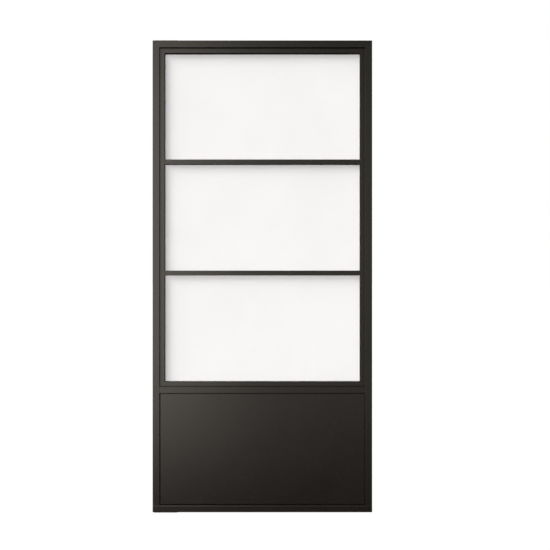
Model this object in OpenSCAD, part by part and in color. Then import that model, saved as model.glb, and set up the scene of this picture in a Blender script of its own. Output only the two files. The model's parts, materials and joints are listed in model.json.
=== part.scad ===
// Glass door: one welded steel leaf with three satin glass panes over a
// closed lower panel, hung on a floor pivot and a sprung ceiling pivot.
// Origin on the floor, under the middle of the leaf. +X runs to the free
// edge, -Y is the front, +Z is up.

/* [Leaf] */
// Width of the leaf
leaf_w = 1000; // [700:10:1300]
// Height of the leaf
leaf_h = 2150; // [1900:10:2600]
// Depth of the leaf, front to back
leaf_d = 50; // [48:1:60]
// Gap under the leaf and over it
swing_gap = 3; // [2:0.5:6]

/* [Frame tubes] */
// Face width of the stiles and of the top rail
stile_face = 31.5; // [28:0.5:45]
// Height of the mid rail
mid_face = 28.5; // [22:0.5:60]
// Height of the bottom rail
bottom_face = 34; // [34:1:60]
// Wall of the frame tubes
tube_wall = 2; // [1.5:0.5:3]
// Outer corner radius of the frame tubes
tube_r = 1; // [1:0.5:4]
// Outer corner radius of the bottom rail
bottom_r = 5; // [2:0.5:5]

/* [Lower panel] */
// Clear height of the opening for the lower panel
panel_open_h = 510; // [250:1:800]
// Width of the joint round the lower panel
panel_joint = 3; // [3:0.5:8]
// How far the panel's faces lie behind the frame's faces
panel_recess = 1; // [0.5:0.5:4]
// Sheet thickness of the panel's trays
sheet = 1.5; // [1:0.25:2]
// Depth of the trays' folded edges
fold_d = 16; // [12:1:18]
// Inside radius of the folds
fold_r = 0.5; // [0.5:0.25:2]

/* [Glazing] */
// Face width of the beads along the stiles
side_bead = 14.5; // [14:0.5:30]
// Face width of the beads along the rails
rail_bead = 18.5; // [15:0.5:30]
// Face width of the glazing bars
bar_face = 22; // [18:0.5:30]
// Depth of the beads and of the glazing bars
bead_d = 15; // [14:1:18]
// Wall of the beads and of the glazing bars
bead_wall = 1.5; // [1.25:0.25:2]
// Shadow joint between a stile and its bead
side_joint = 8.5; // [6:0.5:10]
// Shadow joint between the top rail and its bead
top_joint = 6.5; // [4:0.5:12]
// Shadow joint between the mid rail and its bead
mid_joint = 4; // [3.5:0.5:10]
// Thickness of the glass
glass_t = 8; // [6:1:10]
// Thickness of the glazing seals
seal_t = 3; // [2:0.5:4]
// Width of the glazing seals
seal_w = 4; // [3:0.5:4]
// Thickness of the webs between two panes
web_t = 6; // [5:0.5:8]
// Thickness of the setting blocks, and gap over a pane
block_t = 2; // [1.5:0.25:2.5]

/* [Pivots] */
// Radius of the floor spindle
spindle_r = 7; // [6:0.5:8]
// Radius of the ceiling pin
pin_r = 6; // [5:0.5:6.5]
// How far the ceiling pin draws down
pin_travel = 10; // [9:1:12]
// Thickness of the floor plate
floor_plate_t = 4; // [4:0.5:8]
// Thickness of the ceiling plate
ceiling_plate_t = 4.5; // [4:0.5:10]
// Radial gap of the running fits
run_gap = 0.05; // [0.02:0.01:0.1]

/* [Hidden] */
$fn = 48;

PAINT = "#2e2b28";
GLASS = "#f2f1ee";
RUBBER = "#1b1b1b";
STEEL = "#a9abad";
BRONZE = "#b08d4f";
BOARD = "#b79a6c";
NYLON = "#e4e0d6";

// Hair by which a cutter passes a face
over = 0.1;
// Radial gap of screws in their threads
thread_gap = 0.03;

// Levels, from the floor up
leaf_z = floor_plate_t + swing_gap;
leaf_top = leaf_z + leaf_h;
panel_z0 = leaf_z + bottom_face;
panel_z1 = panel_z0 + panel_open_h;
glazing_z0 = panel_z1 + mid_face;
glazing_z1 = leaf_top - stile_face;
ceiling_z = leaf_top + swing_gap + ceiling_plate_t;

// Panes, one over the other
pane_count = 3;

// Clear opening between the stiles
open_w = leaf_w - 2 * stile_face;

// Glazing: outline of the beads, the sight lines inside them, one pane's share
bead_w = open_w - 2 * side_joint;
bead_z0 = glazing_z0 + mid_joint;
bead_z1 = glazing_z1 - top_joint;
sight_w = bead_w - 2 * side_bead;
sight_z0 = bead_z0 + rail_bead;
sight_z1 = bead_z1 - rail_bead;
sight_h = (sight_z1 - sight_z0 - (pane_count - 1) * bar_face) / pane_count;
pane_step = sight_h + bar_face;
glazing_half = glass_t / 2 + seal_t;
bead_y = glazing_half + bead_d / 2;
liner_half = glazing_half + bead_d * 2 / 3;
bead_r = bead_wall / 2;
side_gap = 3;
seal_set = 1;
setting_block = [80, glass_t];

// Lower panel
panel_w = open_w - 2 * panel_joint;
panel_h = panel_open_h - 2 * panel_joint;
panel_zc = (panel_z0 + panel_z1) / 2;
panel_y = leaf_d / 2 - panel_recess;

// Screws: [shank radius, head radius, length]
RAIL_SCREW = [2, 4, rail_bead + 3];
SIDE_SCREW = [2, 4, side_bead + side_joint - 1.5];
BAR_SCREW = [1.5, 3, bead_d + 8];
BLOCK_SCREW = [2.5, 2.5 + tube_wall, 14];
side_screws = 5;
rail_screws = 3;
screw_end = 80;
screw_y = glazing_half + bead_d / 3;

// Pivots
pivot_x = -(leaf_w - stile_face) / 2;
tube_inner_r = max(tube_r - tube_wall, 0.5);
bottom_inner_r = max(bottom_r - tube_wall, 0.5);
block_r = tube_inner_r + 1;
top_block_d = leaf_d - 2 * tube_wall - 2 * tube_inner_r;
bottom_block_d = leaf_d - 2 * tube_wall - 2 * bottom_inner_r;
foot_r = spindle_r + 1.5;
foot_t = 2;
plate_back = stile_face / 2;
plate_l = 110;
plate_d = 2 * foot_r + 3;
plate_r = 4;
plate_hole_r = 2.75;
plate_head_r = 5.25;
plate_hole_x = [35, 80];
bottom_bush_wall = 3;
ceiling_bush_wall = 2;

bottom_block_l = 60;
bottom_block_z = leaf_z + tube_wall;
bottom_block_h = bottom_face - 2 * tube_wall;
pad_t = 4;
pad_roof = 4;
pad_z = bottom_block_z + bottom_block_h - pad_t - pad_roof;
grease_gap = 2;

top_block_h = 70;
top_block_top = leaf_top - tube_wall;
top_block_w = stile_face - 2 * tube_wall;
spring_bore_r = 9;
guide_h = 16;
collar_h = 8;
collar_top = top_block_top - guide_h;
collar_z = collar_top - collar_h;
tail_r = 4;
tail_l = 15;
plug_h = 8;
plug_set = 3;
plug_top = top_block_top - top_block_h + plug_h + plug_set;
key_r = 2;
key_z = collar_z + collar_h / 2;
spring_wire_r = 0.9;
spring_r = (spring_bore_r + tail_r) / 2 + 0.1;
spring_coils = 7;
pin_sink = 0.5;
pin_tip = ceiling_z - pin_sink;
top_screw_y = 16;
top_screw_end = 10;
bottom_screw_x = [22, 38];

// Solid rectangle with round corners, centred
module round_rect(w, h, r) {
  square([w, h - 2 * r], center = true);
  square([w - 2 * r, h], center = true);
  for (x = [-1, 1], y = [-1, 1])
    translate([x * (w / 2 - r), y * (h / 2 - r)]) circle(r);
}

// Section of a rectangular tube, centred
module tube_section(w, h, wall, r) {
  difference() {
    round_rect(w, h, r);
    round_rect(w - 2 * wall, h - 2 * wall, max(r - wall, 0.5));
  }
}

// Tube along X with its outer side at z = 0 and its face running down from it.
// start and end are how much shorter its inner side is, for the mitred ends.
module tube_bar(length, face, depth, wall, r, start, end) {
  intersection() {
    translate([-length / 2, 0, -face / 2]) rotate([90, 0, 90])
      linear_extrude(length) tube_section(depth, face, wall, r);
    rotate([90, 0, 0]) linear_extrude(depth + 2, center = true)
      polygon([
        [-length / 2, 0], [length / 2, 0],
        [length / 2 - end, -face], [-length / 2 + start, -face]
      ]);
  }
}

module frame_bar(length, face, start, end) {
  tube_bar(length, face, leaf_d, tube_wall, tube_r, start, end);
}

module bead_bar(length, face, mitre) {
  tube_bar(length, face, bead_d, bead_wall, bead_r, mitre, mitre);
}

// Turns a bar that hangs from z = 0 so that its outer side faces -X or +X
module on_left() {
  rotate([0, -90, 0]) children();
}

module on_right() {
  rotate([0, 90, 0]) children();
}

// Box centred in X and Y, standing on z
module slab(w, d, h, z) {
  translate([-w / 2, -d / 2, z]) cube([w, d, h]);
}

// n places over a span, centred
function spread(n, span) = [for (i = [0 : n - 1]) span * (i / (n - 1) - 1 / 2)];

// Countersunk screw with its head's top at z = 0 and its tip down
module screw(size) {
  socket_r = size[0] * 0.75;
  difference() {
    rotate_extrude()
      polygon([
        [0, 0], [size[1], 0], [size[0], size[0] - size[1]],
        [size[0], -size[2]], [0, -size[2]]
      ]);
    translate([0, 0, -size[0] * 0.8]) cylinder(r = socket_r, h = size[0], $fn = 6);
  }
}

// Cutter for that screw: countersunk and clear through the held piece
module clear_hole(size, depth) {
  r = size[0] + 0.25;
  rotate_extrude()
    polygon([
      [0, over], [size[1] + over, over], [r, r - size[1]], [r, -depth], [0, -depth]
    ]);
}

// Cutter for its thread in the piece behind
module thread_hole(size) {
  translate([0, 0, -size[2] - over]) cylinder(r = size[0] + thread_gap, h = size[2] + 2 * over);
}

function bead_screw(side) = side == "left" || side == "right" ? SIDE_SCREW : RAIL_SCREW;

// Places of the bead screws, on the beads' inner sides, heads towards the glass
module at_bead_screws(side) {
  mid = (sight_z0 + sight_z1) / 2;
  reach_z = sight_z1 - sight_z0 - 2 * screw_end;
  reach_x = sight_w - 2 * screw_end;
  if (side == "left")
    for (z = spread(side_screws, reach_z))
      translate([-sight_w / 2, screw_y, mid + z]) rotate([0, 90, 0]) children();
  if (side == "right")
    for (z = spread(side_screws, reach_z))
      translate([sight_w / 2, screw_y, mid + z]) rotate([0, -90, 0]) children();
  if (side == "top")
    for (x = spread(rail_screws, reach_x))
      translate([x, screw_y, sight_z1]) rotate([180, 0, 0]) children();
  if (side == "bottom")
    for (x = spread(rail_screws, reach_x)) translate([x, screw_y, sight_z0]) children();
}

// Centre height of the glazing bar over pane i
function bar_z(i) = sight_z0 + i * pane_step + sight_h + bar_face / 2;

module at_bar_screws(i) {
  for (x = spread(rail_screws, sight_w - 2 * screw_end))
    translate([x, glazing_half + bead_d, bar_z(i)]) rotate([-90, 0, 0]) children();
}

// Screws that hold the two pivot blocks
module at_top_block_screws() {
  for (y = [-1, 1], z = [top_screw_end, top_block_h - top_screw_end])
    translate([-leaf_w / 2, y * top_screw_y, top_block_top - z]) rotate([0, -90, 0]) children();
}

module at_bottom_block_screws() {
  for (x = bottom_screw_x)
    translate([pivot_x + x, 0, leaf_z]) rotate([180, 0, 0]) children();
}

module slot_cut(w, travel, depth) {
  for (z = [0, -travel]) translate([0, 0, z]) rotate([0, 90, 0]) cylinder(r = w / 2, h = depth);
  translate([0, -w / 2, -travel]) cube([depth, w, travel]);
}

// --- Frame ---

module left_stile_tube() {
  h = leaf_h - bottom_face;
  translate([-leaf_w / 2, 0, panel_z0 + h / 2]) on_left() frame_bar(h, stile_face, 0, stile_face);
}

module stile_left() {
  color(PAINT) difference() {
    left_stile_tube();
    at_top_block_screws() clear_hole(BLOCK_SCREW, tube_wall + over);
    translate([-leaf_w / 2 - over, 0, key_z])
      slot_cut(2 * key_r + 1, pin_travel, tube_wall + 2 * over);
  }
}

module stile_right() {
  color(PAINT) mirror([1, 0, 0]) left_stile_tube();
}

module top_rail() {
  color(PAINT) difference() {
    translate([0, 0, leaf_top]) frame_bar(leaf_w, stile_face, stile_face, stile_face);
    translate([pivot_x, 0, top_block_top - over])
      cylinder(r = pin_r + 0.5, h = tube_wall + 2 * over);
  }
}

module mid_rail() {
  color(PAINT) translate([0, 0, glazing_z0]) frame_bar(open_w, mid_face, 0, 0);
}

module bottom_rail() {
  color(PAINT) difference() {
    translate([0, 0, panel_z0]) tube_bar(leaf_w, bottom_face, leaf_d, tube_wall, bottom_r, 0, 0);
    translate([pivot_x, 0, leaf_z - over])
      cylinder(r = spindle_r + bottom_bush_wall, h = tube_wall + 2 * over);
    at_bottom_block_screws() clear_hole(BLOCK_SCREW, tube_wall + over);
  }
}

module bottom_rail_caps() {
  color(PAINT) for (side = [-1, 1])
    translate([side * (leaf_w / 2 - tube_wall / 2), 0, leaf_z + bottom_face / 2]) rotate([90, 0, 90])
      linear_extrude(tube_wall, center = true)
        round_rect(leaf_d - 2 * tube_wall, bottom_face - 2 * tube_wall, bottom_inner_r);
}

// --- Glazing liners: they set the beads off the frame and carry them ---

module side_liner(width, thickness, z0, z1, side) {
  translate([side * (width - thickness) / 2, 0, 0]) slab(thickness, 2 * liner_half, z1 - z0, z0);
}

module glazing_liner_left() {
  color(PAINT) difference() {
    side_liner(open_w, side_joint, glazing_z0, glazing_z1, -1);
    at_bead_screws("left") thread_hole(bead_screw("left"));
  }
}

module glazing_liner_right() {
  color(PAINT) difference() {
    side_liner(open_w, side_joint, glazing_z0, glazing_z1, 1);
    at_bead_screws("right") thread_hole(bead_screw("right"));
  }
}

module glazing_liner_top() {
  color(PAINT) difference() {
    slab(bead_w, 2 * liner_half, top_joint, bead_z1);
    at_bead_screws("top") thread_hole(bead_screw("top"));
  }
}

module glazing_liner_bottom() {
  color(PAINT) difference() {
    slab(bead_w, 2 * liner_half, mid_joint, glazing_z0);
    at_bead_screws("bottom") thread_hole(bead_screw("bottom"));
  }
}

// --- Beads: the front ones are welded on, the back ones unscrew ---

module bead(side, face) {
  translate([0, face * bead_y, (bead_z0 + bead_z1) / 2]) {
    if (side == "left")
      translate([-bead_w / 2, 0, 0]) on_left() bead_bar(bead_z1 - bead_z0, side_bead, rail_bead);
    if (side == "right")
      translate([bead_w / 2, 0, 0]) on_right() bead_bar(bead_z1 - bead_z0, side_bead, rail_bead);
    if (side == "top")
      translate([0, 0, (bead_z1 - bead_z0) / 2]) bead_bar(bead_w, rail_bead, side_bead);
    if (side == "bottom")
      translate([0, 0, -(bead_z1 - bead_z0) / 2]) rotate([0, 180, 0])
        bead_bar(bead_w, rail_bead, side_bead);
  }
}

module front_bead(side) {
  color(PAINT) bead(side, -1);
}

module back_bead(side) {
  color(PAINT) difference() {
    bead(side, 1);
    at_bead_screws(side) clear_hole(bead_screw(side), max(side_bead, rail_bead) + over);
  }
}

module bead_screws() {
  color(STEEL) for (side = ["left", "right", "top", "bottom"])
    at_bead_screws(side) screw(bead_screw(side));
}

// --- Glazing bars: a front tube, a web between the panes, a back tube ---

module bar_tube(i, face) {
  translate([0, face * bead_y, bar_z(i) + bar_face / 2])
    tube_bar(sight_w, bar_face, bead_d, bead_wall, bead_r, 0, 0);
}

module front_bar(i) {
  color(PAINT) bar_tube(i, -1);
}

module back_bar(i) {
  color(PAINT) difference() {
    bar_tube(i, 1);
    at_bar_screws(i) clear_hole(BAR_SCREW, bead_d + over);
  }
}

module bar_web(i) {
  color(PAINT) difference() {
    slab(bead_w, 2 * glazing_half, web_t, bar_z(i) - web_t / 2);
    at_bar_screws(i) thread_hole(BAR_SCREW);
  }
}

module bar_screws() {
  color(STEEL) for (i = [0 : pane_count - 2]) at_bar_screws(i) screw(BAR_SCREW);
}

// --- Panes, counted from the bottom, with their seals and setting blocks ---

function rest_z(i) = i == 0 ? bead_z0 : bar_z(i - 1) + web_t / 2;
function head_z(i) = i == pane_count - 1 ? bead_z1 : bar_z(i) - web_t / 2;

module pane(i) {
  z0 = rest_z(i) + block_t;
  z1 = head_z(i) - block_t;
  color(GLASS) slab(bead_w - 2 * side_gap, glass_t, z1 - z0, z0);
}

module setting_blocks() {
  color(NYLON) for (i = [0 : pane_count - 1], x = [-bead_w / 4, bead_w / 4])
    translate([x, 0, 0]) slab(setting_block[0], setting_block[1], block_t, rest_z(i));
}

module seal(i, face) {
  z = sight_z0 + i * pane_step;
  inner = seal_set;
  outer = seal_set + seal_w;
  color(RUBBER) translate([0, face * (glass_t + seal_t) / 2, 0]) difference() {
    slab(sight_w + 2 * outer, seal_t, sight_h + 2 * outer, z - outer);
    slab(sight_w + 2 * inner, seal_t + over, sight_h + 2 * inner, z - inner);
  }
}

// --- Lower panel: two folded trays over a core board, held by liners ---

// Section of a folded edge: square at the bottom, round at the top corners
module fold_section(w, d, r) {
  translate([-w / 2, 0]) square([w, d - r]);
  translate([-w / 2 + r, 0]) square([w - 2 * r, d]);
  for (x = [-1, 1]) translate([x * (w / 2 - r), d - r]) circle(r);
}

module fold_block(w, h, d, r) {
  intersection() {
    linear_extrude(h, center = true) fold_section(w, d, r);
    rotate([0, 90, 0]) linear_extrude(w, center = true) fold_section(h, d, r);
  }
}

// Tray open towards y = 0 with its face at y = fold_d
module tray() {
  difference() {
    fold_block(panel_w, panel_h, fold_d, fold_r + sheet);
    translate([0, -over, 0])
      fold_block(panel_w - 2 * sheet, panel_h - 2 * sheet, fold_d - sheet + over, fold_r);
  }
}

module front_panel_tray() {
  color(PAINT) translate([0, -panel_y + fold_d, panel_zc]) rotate([0, 0, 180]) tray();
}

module back_panel_tray() {
  color(PAINT) translate([0, panel_y - fold_d, panel_zc]) tray();
}

module panel_core() {
  inset = sheet + fold_r;
  h = panel_h - 2 * inset;
  color(BOARD) slab(panel_w - 2 * inset, 2 * (panel_y - sheet), h, panel_zc - h / 2);
}

module panel_liner_left() {
  color(PAINT) side_liner(open_w, panel_joint, panel_z0, panel_z1, -1);
}

module panel_liner_right() {
  color(PAINT) side_liner(open_w, panel_joint, panel_z0, panel_z1, 1);
}

module panel_liner_top() {
  color(PAINT) slab(panel_w, 2 * liner_half, panel_joint, panel_z1 - panel_joint);
}

module panel_liner_bottom() {
  color(PAINT) slab(panel_w, 2 * liner_half, panel_joint, panel_z0);
}

// --- Pivots ---

module plate_outline() {
  translate([plate_l / 2 - plate_back, 0]) round_rect(plate_l, plate_d, plate_r);
}

// Fixing holes of a pivot plate, with their heads' side at z = 0
module plate_holes(t) {
  for (x = plate_hole_x)
    translate([x, 0, 0]) clear_hole([plate_hole_r - 0.25, plate_head_r], t + over);
}

module floor_plate() {
  color(STEEL) translate([pivot_x, 0, 0]) difference() {
    linear_extrude(floor_plate_t) plate_outline();
    translate([0, 0, -over]) cylinder(r = spindle_r, h = floor_plate_t + 2 * over);
    translate([0, 0, -over]) cylinder(r = foot_r, h = foot_t + over);
    translate([0, 0, floor_plate_t]) plate_holes(floor_plate_t);
  }
}

module floor_spindle() {
  bevel = 1;
  color(STEEL) translate([pivot_x, 0, 0]) rotate_extrude()
    polygon([
      [0, 0], [foot_r, 0], [foot_r, foot_t], [spindle_r, foot_t],
      [spindle_r, pad_z - bevel], [spindle_r - bevel, pad_z], [0, pad_z]
    ]);
}

module bottom_pivot_block() {
  color(STEEL) difference() {
    translate([-leaf_w / 2 + tube_wall, 0, bottom_block_z + bottom_block_h / 2]) rotate([90, 0, 90])
      linear_extrude(bottom_block_l) round_rect(bottom_block_d, bottom_block_h, block_r);
    translate([pivot_x, 0, bottom_block_z - over])
      cylinder(r = spindle_r + bottom_bush_wall, h = pad_z + pad_t - bottom_block_z + over);
    at_bottom_block_screws() thread_hole(BLOCK_SCREW);
  }
}

module bottom_bush() {
  h = pad_z - grease_gap - leaf_z;
  color(BRONZE) translate([pivot_x, 0, leaf_z]) difference() {
    cylinder(r = spindle_r + bottom_bush_wall, h = h);
    translate([0, 0, -over]) cylinder(r = spindle_r + run_gap, h = h + 2 * over);
  }
}

module thrust_pad() {
  color(BRONZE) translate([pivot_x, 0, pad_z])
    cylinder(r = spindle_r + bottom_bush_wall - 0.2, h = pad_t);
}

module top_pivot_block() {
  color(STEEL) difference() {
    translate([pivot_x, 0, top_block_top - top_block_h])
      linear_extrude(top_block_h) round_rect(top_block_w, top_block_d, block_r);
    translate([pivot_x, 0, collar_top - over]) cylinder(r = pin_r + run_gap, h = guide_h + 2 * over);
    translate([pivot_x, 0, top_block_top - top_block_h - over])
      cylinder(r = spring_bore_r, h = top_block_h - guide_h + over);
    translate([-leaf_w / 2, 0, key_z])
      slot_cut(2 * key_r + 1, pin_travel, stile_face / 2);
    at_top_block_screws() thread_hole(BLOCK_SCREW);
  }
}

module top_pin() {
  bevel = 1.5;
  collar_r = spring_bore_r - run_gap;
  color(STEEL) translate([pivot_x, 0, 0]) difference() {
    rotate_extrude()
      polygon([
        [0, collar_z - tail_l], [tail_r, collar_z - tail_l], [tail_r, collar_z],
        [collar_r, collar_z], [collar_r, collar_top], [pin_r, collar_top],
        [pin_r, pin_tip - bevel], [pin_r - bevel, pin_tip], [0, pin_tip]
      ]);
    translate([-spring_bore_r - over, 0, key_z]) rotate([0, 90, 0])
      cylinder(r = key_r, h = spring_bore_r - 1);
  }
}

// Round wire wound up, with its end coils closed
module top_spring() {
  turns = spring_coils;
  steps = 16;
  sides = 8;
  low = plug_top + spring_wire_r + 0.02;
  high = collar_z - spring_wire_r - 0.02;
  closed = 2 * spring_wire_r + 0.1;
  open = (high - low - 2 * closed) / (turns - 2);
  rise = function(t) t < 1 ? closed * t
    : t > turns - 1 ? high - low - closed * (turns - t)
    : closed + open * (t - 1);
  rings = turns * steps;
  points = [
    for (k = [0 : rings], s = [0 : sides - 1])
      let (t = k / steps, a = 360 * t, b = 360 * s / sides,
        r = spring_r + spring_wire_r * cos(b))
      [r * cos(a), r * sin(a), low + rise(t) + spring_wire_r * sin(b)]
  ];
  walls = [
    for (k = [0 : rings - 1], s = [0 : sides - 1])
      let (n = (s + 1) % sides, p = k * sides)
      [p + s, p + n, p + sides + n, p + sides + s]
  ];
  start = [for (s = [sides - 1 : -1 : 0]) s];
  end = [for (s = [0 : sides - 1]) rings * sides + s];
  color(STEEL) translate([pivot_x, 0, 0]) polyhedron(points, concat(walls, [start, end]));
}

module spring_plug() {
  socket = [3.5, 5];
  color(STEEL) translate([pivot_x, 0, plug_top - plug_h]) difference() {
    cylinder(r = spring_bore_r, h = plug_h);
    translate([0, 0, -over]) cylinder(r = socket[0], h = socket[1], $fn = 6);
  }
}

module pivot_block_screws() {
  color(STEEL) {
    at_top_block_screws() screw(BLOCK_SCREW);
    at_bottom_block_screws() screw(BLOCK_SCREW);
  }
}

module ceiling_plate() {
  color(STEEL) translate([pivot_x, 0, ceiling_z - ceiling_plate_t]) difference() {
    linear_extrude(ceiling_plate_t) plate_outline();
    translate([0, 0, -over]) cylinder(r = pin_r + ceiling_bush_wall, h = ceiling_plate_t + 2 * over);
    rotate([180, 0, 0]) plate_holes(ceiling_plate_t);
  }
}

module ceiling_bush() {
  color(BRONZE) translate([pivot_x, 0, ceiling_z - ceiling_plate_t]) difference() {
    cylinder(r = pin_r + ceiling_bush_wall, h = ceiling_plate_t);
    translate([0, 0, -over]) cylinder(r = pin_r + run_gap, h = ceiling_plate_t + 2 * over);
  }
}

stile_left();
stile_right();
top_rail();
mid_rail();
bottom_rail();
bottom_rail_caps();
glazing_liner_left();
glazing_liner_right();
glazing_liner_top();
glazing_liner_bottom();
front_bead("left");  // front_bead_left
front_bead("right");  // front_bead_right
front_bead("top");  // front_bead_top
front_bead("bottom");  // front_bead_bottom
front_bar(1);  // front_bar_upper
front_bar(0);  // front_bar_lower
bar_web(1);  // bar_web_upper
bar_web(0);  // bar_web_lower
pane(2);  // pane_top
pane(1);  // pane_middle
pane(0);  // pane_bottom
setting_blocks();
seal(2, -1);  // front_seal_top
seal(1, -1);  // front_seal_middle
seal(0, -1);  // front_seal_bottom
seal(2, 1);  // back_seal_top
seal(1, 1);  // back_seal_middle
seal(0, 1);  // back_seal_bottom
back_bead("left");  // back_bead_left
back_bead("right");  // back_bead_right
back_bead("top");  // back_bead_top
back_bead("bottom");  // back_bead_bottom
bead_screws();
back_bar(1);  // back_bar_upper
back_bar(0);  // back_bar_lower
bar_screws();
panel_liner_left();
panel_liner_right();
panel_liner_top();
panel_liner_bottom();
front_panel_tray();
back_panel_tray();
panel_core();
floor_plate();
floor_spindle();
bottom_pivot_block();
bottom_bush();
thrust_pad();
top_pivot_block();
top_pin();
top_spring();
spring_plug();
pivot_block_screws();
ceiling_plate();
ceiling_bush();
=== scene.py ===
import json
import math
import bmesh
import bpy
from mathutils import Matrix, Vector


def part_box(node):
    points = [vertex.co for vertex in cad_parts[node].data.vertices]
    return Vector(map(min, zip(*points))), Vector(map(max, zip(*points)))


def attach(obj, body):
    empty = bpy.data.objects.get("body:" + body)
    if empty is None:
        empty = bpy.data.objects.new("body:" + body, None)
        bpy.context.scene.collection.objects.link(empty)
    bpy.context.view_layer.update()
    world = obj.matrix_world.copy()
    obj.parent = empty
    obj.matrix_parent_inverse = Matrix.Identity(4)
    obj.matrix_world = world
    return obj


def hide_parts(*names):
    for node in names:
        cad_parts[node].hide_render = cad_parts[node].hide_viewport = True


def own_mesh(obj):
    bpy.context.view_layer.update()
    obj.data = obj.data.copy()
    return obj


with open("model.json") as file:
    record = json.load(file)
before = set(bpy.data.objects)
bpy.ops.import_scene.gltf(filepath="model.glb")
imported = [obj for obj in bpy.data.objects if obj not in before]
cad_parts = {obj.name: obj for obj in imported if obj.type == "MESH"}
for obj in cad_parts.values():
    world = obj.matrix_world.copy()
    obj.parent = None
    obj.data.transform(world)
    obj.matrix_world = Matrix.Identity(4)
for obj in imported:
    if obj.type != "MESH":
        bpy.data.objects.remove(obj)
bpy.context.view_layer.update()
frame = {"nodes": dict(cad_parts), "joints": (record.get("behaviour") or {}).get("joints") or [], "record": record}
nodes = frame["nodes"]
print("frame loaded,", len(nodes), "nodes")


class Signal:  # one socket of a node tree; + - * / and abs() add Math nodes
    def __init__(self, graph, socket):
        self.graph = graph
        self.socket = socket

    def math(self, operation, *values):
        return self.graph.node("ShaderNodeMath", {"operation": operation}, dict(enumerate(values)))

    def __add__(self, other):
        return self.math("ADD", self, other)

    def __radd__(self, other):
        return self.math("ADD", other, self)

    def __sub__(self, other):
        return self.math("SUBTRACT", self, other)

    def __rsub__(self, other):
        return self.math("SUBTRACT", other, self)

    def __mul__(self, other):
        return self.math("MULTIPLY", self, other)

    def __rmul__(self, other):
        return self.math("MULTIPLY", other, self)

    def __truediv__(self, other):
        return self.math("DIVIDE", self, other)

    def __rtruediv__(self, other):
        return self.math("DIVIDE", other, self)

    def __abs__(self):
        return self.math("ABSOLUTE", self)

    def atLeast(self, other):
        return self.math("MAXIMUM", self, other)

    def between(self, none, full):  # 0 at none, 1 at full, smooth in between, either way round
        return self.graph.node(
            "ShaderNodeMapRange", {"interpolation_type": "SMOOTHSTEP"},
            {"Value": self, "From Min": none, "From Max": full})


class Graph:  # a node tree that is filled from nothing
    def __init__(self, owner):
        owner.use_nodes = True
        self.tree = owner.node_tree
        self.tree.nodes.clear()

    def node(self, kind, settings, values, output=0):
        made = self.tree.nodes.new(kind)
        for name, value in settings.items():
            setattr(made, name, value)
        for key, value in values.items():
            self.plug(made.inputs[key], value)
        return Signal(self, made.outputs[output])

    def plug(self, socket, value):  # links a signal, or sets a number or a colour
        if isinstance(value, Signal):
            self.tree.links.new(value.socket, socket)
        elif hasattr(socket.default_value, "__len__") and len(value) < len(socket.default_value):
            socket.default_value = (*value, 1.0)
        else:
            socket.default_value = value

    def output(self, kind, shader):
        made = self.tree.nodes.new(kind)
        self.tree.links.new(shader, made.inputs["Surface"])


class Finish(Graph):  # a material and its Principled shader
    def __init__(self, name, **fixed):
        self.material = bpy.data.materials.new(name)
        super().__init__(self.material)
        self.shader = self.tree.nodes.new("ShaderNodeBsdfPrincipled")
        self.output("ShaderNodeOutputMaterial", self.shader.outputs[0])
        self.set(**fixed)

    def set(self, **inputs):  # Base_Color stands for the socket Base Color
        for name, value in inputs.items():
            self.plug(self.shader.inputs[name.replace("_", " ")], value)
        return self.material

    def place(self, scale=(1, 1, 1)):  # object coordinates in metres, stretched by scale
        where = self.node("ShaderNodeTexCoord", {}, {}, "Object")
        return self.node("ShaderNodeMapping", {}, {"Vector": where, "Scale": scale})

    def noise(self, where, scale, detail=3.0, roughness=0.5):
        return self.node(
            "ShaderNodeTexNoise", {},
            {"Vector": where, "Scale": scale, "Detail": detail, "Roughness": roughness}, "Fac")

    def mixColour(self, factor, first, second):
        return self.node("ShaderNodeMix", {"data_type": "RGBA"},
                         {0: factor, 6: first, 7: second}, 2)

    def bump(self, height, strength, distance, below=None):
        values = {"Height": height, "Strength": strength, "Distance": distance}
        if below:
            values["Normal"] = below
        return self.node("ShaderNodeBump", {}, values)


# Patches and grains are counted per metre; a bump is its strength and its depth in metres.

paintLook = {
    "dark": (0.0044, 0.0032, 0.0024),
    "light": (0.0068, 0.0053, 0.0041),
    "mirror": 0.5,
    "mirrorTint": (1.0, 0.95, 0.87, 1.0),
    "cloud": 2.2,             # patches where the coat is a touch lighter
    "peel": 420,              # orange peel
    "grain": 2600,            # powder grain
    "roughness": (0.24, 0.29),
    "grainRoughness": 0.05,
    "peelBump": (0.10, 0.0006),
    "grainBump": (0.06, 0.0002),
    "dust": 38.0,
    "dustFrom": (0.55, 0.78),
    "dustColour": (0.06, 0.055, 0.048),
    "dustCover": 0.03,
}


def satinPaint():
    look = paintLook
    finish = Finish("satinPaint", Specular_IOR_Level=look["mirror"],
                    Specular_Tint=look["mirrorTint"])
    where = finish.place()
    cloud = finish.noise(where, look["cloud"], 4.0, 0.6)
    peel = finish.noise(where, look["peel"], 2.0)
    grain = finish.noise(where, look["grain"], 1.0)
    dust = finish.noise(where, look["dust"], 6.0, 0.7).between(*look["dustFrom"])
    dust = dust * look["dustCover"]
    colour = finish.mixColour(cloud.between(0.3, 0.7), look["dark"], look["light"])
    colour = finish.mixColour(dust, colour, look["dustColour"])
    smooth, rough = look["roughness"]
    roughness = (smooth + (rough - smooth) * cloud + dust
                 + (grain - 0.5) * look["grainRoughness"])
    skin = finish.bump(peel, *look["peelBump"])
    skin = finish.bump(grain, *look["grainBump"], skin)
    return finish.set(Base_Color=colour, Roughness=roughness, Normal=skin)


glassLook = {
    "dark": (0.911, 0.900, 0.906),
    "light": (0.937, 0.925, 0.932),
    "ior": 1.5,
    "clear": 0.12,            # share of the light that passes through
    "mirror": 0.2,
    "cloud": 3.0,
    "etch": 3200.0,
    "roughness": (0.68, 0.76),
    "etchRoughness": 0.08,
    "etchBump": (0.05, 0.0001),
}


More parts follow.
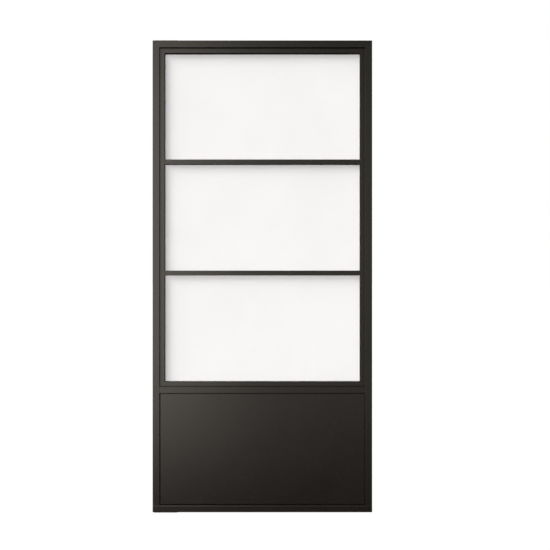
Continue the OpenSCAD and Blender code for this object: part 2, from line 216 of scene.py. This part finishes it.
def satinGlass():
    look = glassLook
    finish = Finish("satinGlass", IOR=look["ior"], Transmission_Weight=look["clear"],
                    Specular_IOR_Level=look["mirror"])
    where = finish.place()
    cloud = finish.noise(where, look["cloud"], 4.0, 0.55)
    etch = finish.noise(where, look["etch"], 2.0, 0.6)
    colour = finish.mixColour(cloud.between(0.3, 0.7), look["dark"], look["light"])
    smooth, rough = look["roughness"]
    roughness = smooth + (rough - smooth) * cloud + (etch - 0.5) * look["etchRoughness"]
    return finish.set(Base_Color=colour, Roughness=roughness,
                      Normal=finish.bump(etch, *look["etchBump"]))


rubberLook = {
    "dark": (0.008, 0.008, 0.008),
    "light": (0.018, 0.018, 0.017),
    "mirror": 0.35,
    "mottle": 90.0,
    "grain": 1400.0,
    "roughness": (0.62, 0.77),
    "grainBump": (0.15, 0.0002),
}


def sealRubber():
    look = rubberLook
    finish = Finish("sealRubber", Specular_IOR_Level=look["mirror"])
    where = finish.place()
    mottle = finish.noise(where, look["mottle"], 4.0, 0.6)
    grain = finish.noise(where, look["grain"], 2.0)
    smooth, rough = look["roughness"]
    return finish.set(Base_Color=finish.mixColour(mottle, look["dark"], look["light"]),
                      Roughness=smooth + (rough - smooth) * mottle,
                      Normal=finish.bump(grain, *look["grainBump"]))


steelLook = {
    "smear": 45.0,            # patches of handling
    "smearRoughness": 0.20,
    "lineRoughness": 0.12,
    "lineBump": (0.12, 0.0003),
    "shade": 0.62,            # brightness of the dark lines
    "brushedSteel": {"stretch": (20, 1400, 1400), "tint": (0.47, 0.46, 0.45), "roughness": 0.26},
    "screwSteel": {"stretch": (300, 300, 300), "tint": (0.33, 0.33, 0.34), "roughness": 0.34},
    "springSteel": {"stretch": (500, 500, 500), "tint": (0.26, 0.26, 0.27), "roughness": 0.26},
}


def plainSteel(name):
    look = steelLook
    kind = look[name]
    finish = Finish(name, Metallic=1.0)
    lines = finish.noise(finish.place(kind["stretch"]), 1.0, 5.0, 0.65)
    smear = finish.noise(finish.place(), look["smear"], 4.0, 0.6)
    shade = tuple(look["shade"] * c for c in kind["tint"])
    worn = (lines * 0.6 + smear * 0.4).between(0.25, 0.75)
    roughness = (kind["roughness"] + look["smearRoughness"] * smear
                 + look["lineRoughness"] * (lines - 0.5))
    return finish.set(Base_Color=finish.mixColour(worn, shade, kind["tint"]),
                      Roughness=roughness, Normal=finish.bump(lines, *look["lineBump"]))


bronzeLook = {
    "fresh": (0.55, 0.36, 0.16),
    "aged": (0.30, 0.17, 0.07),
    "rings": (60, 60, 2600),  # turning marks, close together along Z
    "age": 160.0,
    "roughness": (0.30, 0.55),
    "ringBump": (0.15, 0.0002),
}


def turnedBronze():
    look = bronzeLook
    finish = Finish("turnedBronze", Metallic=1.0)
    rings = finish.noise(finish.place(look["rings"]), 1.0, 3.0, 0.6)
    age = finish.noise(finish.place(), look["age"], 5.0, 0.65)
    smooth, rough = look["roughness"]
    return finish.set(
        Base_Color=finish.mixColour(age.between(0.35, 0.75), look["fresh"], look["aged"]),
        Roughness=smooth + (rough - smooth) * age, Normal=finish.bump(rings, *look["ringBump"]))


nylonLook = {
    "dark": (0.70, 0.67, 0.60),
    "light": (0.80, 0.77, 0.70),
    "milky": 0.1,             # light that wanders inside
    "mottle": 120.0,
    "roughness": (0.45, 0.60),
    "mottleBump": (0.1, 0.0003),
}


def castNylon():
    look = nylonLook
    finish = Finish("castNylon", Subsurface_Weight=look["milky"])
    mottle = finish.noise(finish.place(), look["mottle"], 4.0, 0.6)
    smooth, rough = look["roughness"]
    return finish.set(Base_Color=finish.mixColour(mottle, look["dark"], look["light"]),
                      Roughness=smooth + (rough - smooth) * mottle,
                      Normal=finish.bump(mottle, *look["mottleBump"]))


boardLook = {
    "dark": (0.34, 0.23, 0.13),
    "light": (0.56, 0.42, 0.26),
    "stain": (0.40, 0.29, 0.17),
    "stainCover": 0.3,
    "lie": (1, 1, 0.35),      # fibres run longer along Z
    "fibre": 900.0,
    "patch": 14.0,
    "roughness": (0.75, 0.90),
    "fibreBump": (0.4, 0.0006),
}


def fibreBoard():
    look = boardLook
    finish = Finish("fibreBoard")
    fibre = finish.noise(finish.place(look["lie"]), look["fibre"], 6.0, 0.75)
    patch = finish.noise(finish.place(), look["patch"], 4.0, 0.6)
    colour = finish.mixColour(fibre.between(0.3, 0.75), look["dark"], look["light"])
    colour = finish.mixColour(patch * look["stainCover"], colour, look["stain"])
    smooth, rough = look["roughness"]
    return finish.set(Base_Color=colour, Roughness=smooth + (rough - smooth) * patch,
                      Normal=finish.bump(fibre, *look["fibreBump"]))


bodies = frame["record"]["behaviour"]["bodies"]
bodyOf = {node: body for body, held in bodies.items() for node in held}
slotOf = {part["node"]: part["material_slot"] for part in frame["record"]["subparts"]}
mergeGap = 1e-6               # metres, under which two vertices are one


def paintWith(thing, material):
    mesh = thing.data
    mesh.materials.clear()
    mesh.materials.append(material)


def newPiece(name, bm, stands, material, smooth):  # edges past smooth degrees stay sharp
    bmesh.ops.remove_doubles(bm, verts=bm.verts, dist=mergeGap)
    bmesh.ops.recalc_face_normals(bm, faces=bm.faces)
    mesh = bpy.data.meshes.new(name)
    bm.to_mesh(mesh)
    bm.free()
    thing = bpy.data.objects.new(name, mesh)
    bpy.context.scene.collection.objects.link(thing)
    for face in mesh.polygons:
        face.use_smooth = True
    mesh.set_sharp_from_angle(angle=math.radians(smooth))
    paintWith(thing, material)
    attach(thing, bodyOf[stands])
    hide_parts(stands)
    return thing


def blockIn(low, high):  # a closed box between two corners
    bm = bmesh.new()
    bmesh.ops.create_cube(bm, size=1.0)
    size = [b - a for a, b in zip(low, high)]
    middle = [(a + b) / 2 for a, b in zip(low, high)]
    bmesh.ops.scale(bm, vec=size, verts=bm.verts)
    bmesh.ops.translate(bm, vec=middle, verts=bm.verts)
    return bm


pane = {
    "names": ["pane_top", "pane_middle", "pane_bottom"],
    "arris": 0.0012,          # ground corner of the glass
    "arrisSteps": 2,
    "smooth": 20,
}


def makePanes(material):
    for name in pane["names"]:
        low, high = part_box(name)
        bm = blockIn(low, high)
        bmesh.ops.bevel(bm, geom=bm.edges[:], offset=pane["arris"], affect="EDGES",
                        segments=pane["arrisSteps"], profile=0.5, material=-1)
        glass = newPiece(name + "_glass", bm, name, material, pane["smooth"])
        glass.visible_glossy = False   # or it would brighten the inner sides of the beads


seal = {
    "sides": ["front", "back"],
    "levels": ["top", "middle", "bottom"],
    "width": 0.0046,          # outer edge to the tip of the lip
    "lip": 0.0012,            # rounding of the lip
    "lipSteps": 4,
    "smooth": 40,
}


def ringIn(low, high, width):  # a flat rectangular ring, standing in the XZ plane
    bm = blockIn(low, high)
    faces = [f for f in bm.faces if abs(f.normal.y) > 0.9]
    bmesh.ops.inset_individual(bm, faces=faces, thickness=width, use_even_offset=True)
    rims = [e for f in faces for e in f.edges]
    bmesh.ops.delete(bm, geom=faces, context="FACES_ONLY")
    bmesh.ops.bridge_loops(bm, edges=rims)
    return bm


def onInnerRim(edge, low, high, width):  # runs round the opening, not through the ring
    start, end = [v.co for v in edge.verts]
    middle = (start + end) / 2
    inset = min(middle.x - low[0], high[0] - middle.x, middle.z - low[2], high[2] - middle.z)
    through = abs((start - end).normalized().y)
    return through < 0.5 and abs(inset - width) < width * 0.2


def makeSeals(material):
    for side in seal["sides"]:
        for level in seal["levels"]:
            name = f"{side}_seal_{level}"
            low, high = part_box(name)
            bm = ringIn(low, high, seal["width"])
            rim = [e for e in bm.edges if onInnerRim(e, low, high, seal["width"])]
            bmesh.ops.bevel(bm, geom=rim, offset=seal["lip"], affect="EDGES",
                            segments=seal["lipSteps"], profile=0.5, material=-1)
            newPiece(name + "_rubber", bm, name, material, seal["smooth"])


spring = {
    "joint": "pin_draw",      # presses the coils together
    "wire": 0.0018,
    "wireSides": 12,
    "coils": 7,
    "stepsPerCoil": 32,
    "closed": 1.05,           # rise of the first and last coil, in wires
    "smooth": 60,
    "order": (1.0, 2.3, 7.1),   # a slant on which no two points are level
}


def fixOrder(bm):  # a spin numbers its faces anew in each run, so they are put in one order
    along = Vector(spring["order"])
    bm.verts.sort(key=lambda vert: vert.co.dot(along))
    bm.edges.sort(key=lambda edge: (edge.verts[0].co + edge.verts[1].co).dot(along))
    bm.faces.sort(key=lambda face: face.calc_center_median().dot(along))


def makeSpring(material):
    low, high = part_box("top_spring")
    wire = spring["wire"] / 2
    middle = Vector(((low[0] + high[0]) / 2, (low[1] + high[1]) / 2, low[2] + wire))
    radius = (high[0] - low[0]) / 2 - wire
    bm = bmesh.new()
    bmesh.ops.create_circle(bm, segments=spring["wireSides"], radius=wire)
    upright = Matrix.Rotation(math.pi / 2, 3, "X")
    bmesh.ops.rotate(bm, cent=(0, 0, 0), matrix=upright, verts=bm.verts)
    bmesh.ops.translate(bm, vec=middle + Vector((radius, 0, 0)), verts=bm.verts)
    rise = high[2] - low[2] - 2 * wire
    closed = spring["closed"] * spring["wire"]
    stages = [(1, closed), (spring["coils"] - 2, rise - 2 * closed), (1, closed)]  # turns, lift
    loop = bm.edges[:]
    start = loop[:]
    for coils, lift in stages:
        steps = coils * spring["stepsPerCoil"]
        made = bmesh.ops.spin(bm, geom=loop, cent=middle, axis=(0, 0, 1),
                              dvec=(0, 0, lift / steps), angle=2 * math.pi * coils, steps=steps)
        loop = [g for g in made["geom_last"] if isinstance(g, bmesh.types.BMEdge)]
    bmesh.ops.contextual_create(bm, geom=start)   # both ends of the wire are closed
    bmesh.ops.contextual_create(bm, geom=loop)
    fixOrder(bm)
    wound = newPiece("top_spring_wire", bm, "top_spring", material, spring["smooth"])
    travel = next(max(map(abs, joint["range_m"])) for joint in frame["joints"]
                  if joint["name"] == spring["joint"])
    1 - travel / (high[2] - low[2])
    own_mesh(wound)


def dressNodes(finishes):
    for name, thing in nodes.items():
        paintWith(thing, finishes[slotOf[name]])


# Across and rise are slopes: metres sideways and upwards for one metre in front.

studio = {
    "reach": 2.40,            # lens to the front of the leaf
    "viewWidth": 2.504,       # what the picture spans at that distance
    "aside": 0.0575,          # lens to the right of the leaf's middle
    "above": 0.0068,          # and over it
    "film": 36.0,             # width of the sensor, in millimetres
    "backdrop": 1.0,
    "behind": 0.90,           # light from behind the leaf
    "mirrored": 0.05,         # what the paint sees of it, straight on
    "sides": 0.60,            # and towards both sides
    "sidesFrom": (0.42, 0.90),
    "ends": 0.45,             # what it sees far left, far right and overhead
    "endsFrom": (0.80, 0.96),
    "turn": (-0.02, 0.05),    # where front gives way to behind
    "flat": 0.02,             # keeps a slope finite beside the leaf's plane
    "dim": 0.021,             # from everywhere else in front
    "floorLine": (-0.385, -0.27),   # rise under which nothing shines
    "window": 3.05,           # broad soft window, at the left
    "windowFelt": 0.4,        # share of it that lights matt things
    "windowRight": (-0.05, -0.22),
    "windowLeft": (-0.95, -0.60),
    "windowTop": (0.75, 0.33),
    "card": 0.59,             # pale card, at the right
    "cardLeft": (-0.22, -0.05),
    "cardRight": (0.80, 0.50),
    "cardTop": (0.75, 0.25),
    "lamp": 9.4,              # soft lamp, high up on the left
    "lampTowards": (-2.0, -1.0, 2.0),
    "lampSpread": (28, 8),    # degrees, outer and inner
    "warmth": (1.0, 0.992, 0.970),
}

fillLook = {
    "place": (-0.45, -9.0, 1.2),
    "size": 0.8,
    "power": 386.0,
    "colour": (1.0, 0.994, 0.984),
}

floorLook = {
    "size": 60.0,
    "glow": 0.96,             # so that it stays as pale as the backdrop
    "dark": (0.050, 0.050, 0.050),
    "light": (0.065, 0.065, 0.065),
    "haze": 0.6,
    "roughness": (0.8, 0.9),
}


def leafMiddle():  # middle of the leaf's front face
    low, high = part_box("stile_right")
    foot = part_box("bottom_rail")[0]
    return Vector((0, low[1], (foot[2] + high[2]) / 2))


def addFill():  # plain light from the front, which the paint doesn't mirror
    light = bpy.data.lights.new("fill", "AREA")
    light.size = fillLook["size"]
    light.energy = fillLook["power"]
    light.color = fillLook["colour"]
    lamp = bpy.data.objects.new("fill", light)
    bpy.context.scene.collection.objects.link(lamp)
    place = Vector(fillLook["place"])
    turn = (leafMiddle() - place).to_track_quat("-Z", "Y").to_matrix().to_4x4()
    lamp.matrix_world = Matrix.Translation(place) @ turn
    lamp.visible_camera = False
    lamp.visible_glossy = False


def addCamera():
    data = bpy.data.cameras.new("camera")
    data.sensor_width = studio["film"]
    data.lens = studio["film"] * studio["reach"] / studio["viewWidth"]
    camera = bpy.data.objects.new("camera", data)
    bpy.context.scene.collection.objects.link(camera)
    camera.location = leafMiddle() + Vector((studio["aside"], -studio["reach"], studio["above"]))
    camera.rotation_euler = (math.pi / 2, 0, 0)
    bpy.context.scene.camera = camera


def addFloor():
    look = floorLook
    bm = bmesh.new()
    bmesh.ops.create_grid(bm, x_segments=1, y_segments=1, size=look["size"])
    mesh = bpy.data.meshes.new("floor")
    bm.to_mesh(mesh)
    bm.free()
    floor = bpy.data.objects.new("floor", mesh)
    bpy.context.scene.collection.objects.link(floor)
    finish = Finish("studioFloor", Emission_Strength=look["glow"], Emission_Color=(1.0, 1.0, 1.0))
    haze = finish.noise(finish.place(), look["haze"], 2.0)
    smooth, rough = look["roughness"]
    finish.set(Base_Color=finish.mixColour(haze, look["dark"], look["light"]),
               Roughness=smooth + (rough - smooth) * haze)
    paintWith(floor, finish.material)
    floor.visible_glossy = False   # it is seen, and throws no light on the door
    floor.visible_diffuse = False
    floor.visible_shadow = False


def studioLight(sky):
    look = studio
    where = sky.node("ShaderNodeTexCoord", {}, {}, "Generated")
    x, y, z = [sky.node("ShaderNodeSeparateXYZ", {}, {"Vector": where}, axis) for axis in "XYZ"]
    ahead = (0 - y).atLeast(look["flat"])
    across, rise = x / ahead, z / ahead
    walls = rise.between(*look["floorLine"])
    window = (walls * across.between(*look["windowRight"]) * across.between(*look["windowLeft"])
              * rise.between(*look["windowTop"]))
    card = (walls * across.between(*look["cardLeft"]) * across.between(*look["cardRight"])
            * rise.between(*look["cardTop"]))
    outer, inner = [math.cos(math.radians(a)) for a in look["lampSpread"]]
    towards = Vector(look["lampTowards"]).normalized()
    lamp = sky.node("ShaderNodeVectorMath", {"operation": "DOT_PRODUCT"},
                    {0: where, 1: towards}, "Value").between(outer, inner)
    mirrored = sky.node("ShaderNodeLightPath", {}, {}, "Is Glossy Ray")
    felt = look["windowFelt"]
    front = (look["dim"] + look["window"] * window * (felt + (1 - felt) * mirrored)
             + look["card"] * card + look["lamp"] * lamp * (1 - mirrored))
    toSide = abs(x) / y.atLeast(look["flat"])
    shown = look["mirrored"] + look["sides"] * toSide.between(*look["sidesFrom"])
    behind = look["behind"] + mirrored * (shown - look["behind"])
    back = y.between(*look["turn"])
    outwards = abs(x).atLeast(z).between(*look["endsFrom"])
    return front + back * (behind - front) + look["ends"] * outwards * mirrored


def addWorld():
    world = bpy.data.worlds.new("studio")
    bpy.context.scene.world = world
    sky = Graph(world)
    seen = sky.node("ShaderNodeBackground", {},
                    {"Color": (1, 1, 1), "Strength": studio["backdrop"]})
    felt = sky.node("ShaderNodeBackground", {},
                    {"Color": studio["warmth"], "Strength": studioLight(sky)})
    toCamera = sky.node("ShaderNodeLightPath", {}, {}, "Is Camera Ray")
    mix = sky.node("ShaderNodeMixShader", {}, {0: toCamera, 1: felt, 2: seen})
    sky.output("ShaderNodeOutputWorld", mix.socket)


finishes = {
    "dark_paint": satinPaint(),
    "satin_glass": satinGlass(),
    "black_rubber": sealRubber(),
    "nylon": castNylon(),
    "core_board": fibreBoard(),
    "bronze": turnedBronze(),
    "screw_steel": plainSteel("screwSteel"),
    "bare_steel": plainSteel("brushedSteel"),
    "spring_steel": plainSteel("springSteel"),
}
dressNodes(finishes)
print("finishes set")
makePanes(finishes["satin_glass"])
makeSeals(finishes["black_rubber"])
makeSpring(finishes["spring_steel"])
print("panes, seals and spring made")
addFloor()
addWorld()
addFill()
addCamera()
bpy.context.scene.view_settings.view_transform = "Standard"
print("studio ready")
